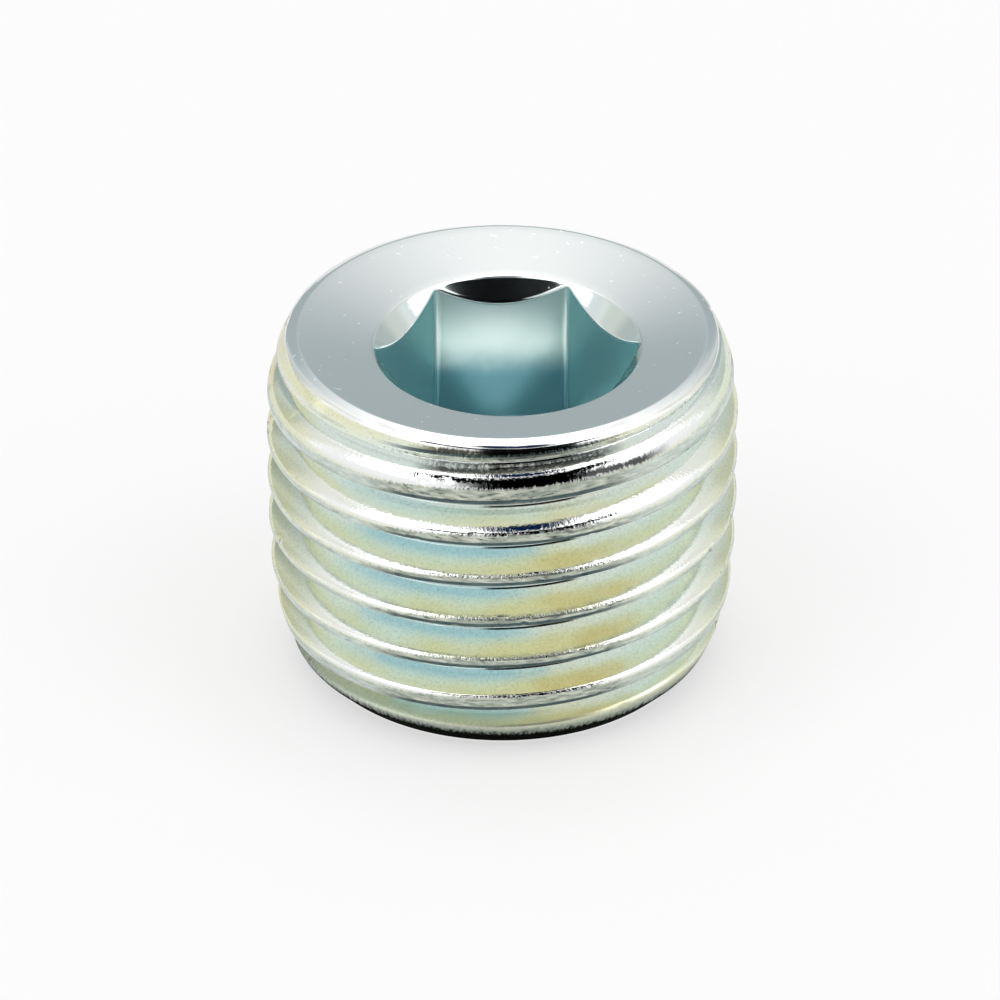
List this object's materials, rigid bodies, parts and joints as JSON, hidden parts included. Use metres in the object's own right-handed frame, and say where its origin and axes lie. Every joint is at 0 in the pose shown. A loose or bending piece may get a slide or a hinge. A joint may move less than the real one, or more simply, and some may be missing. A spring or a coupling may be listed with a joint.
{
  "type": "hex socket plug",
  "caption": "Short headless taper plug with an external pipe thread, a dished top face and a blind hexagon socket.",
  "frame": {"origin": "centre of the small end face, on the axis of the plug", "axes": "+Z runs along the axis towards the socket end, and two corners of the hexagon lie on X"},
  "size_m": [0.013, 0.013, 0.01],
  "materials": {
    "plated_steel": "zinc plated with a clear iridescent passivate"
  },
  "bodies": {
    "root": {"plug_body": "plated_steel"}
  },
  "joints": []
}
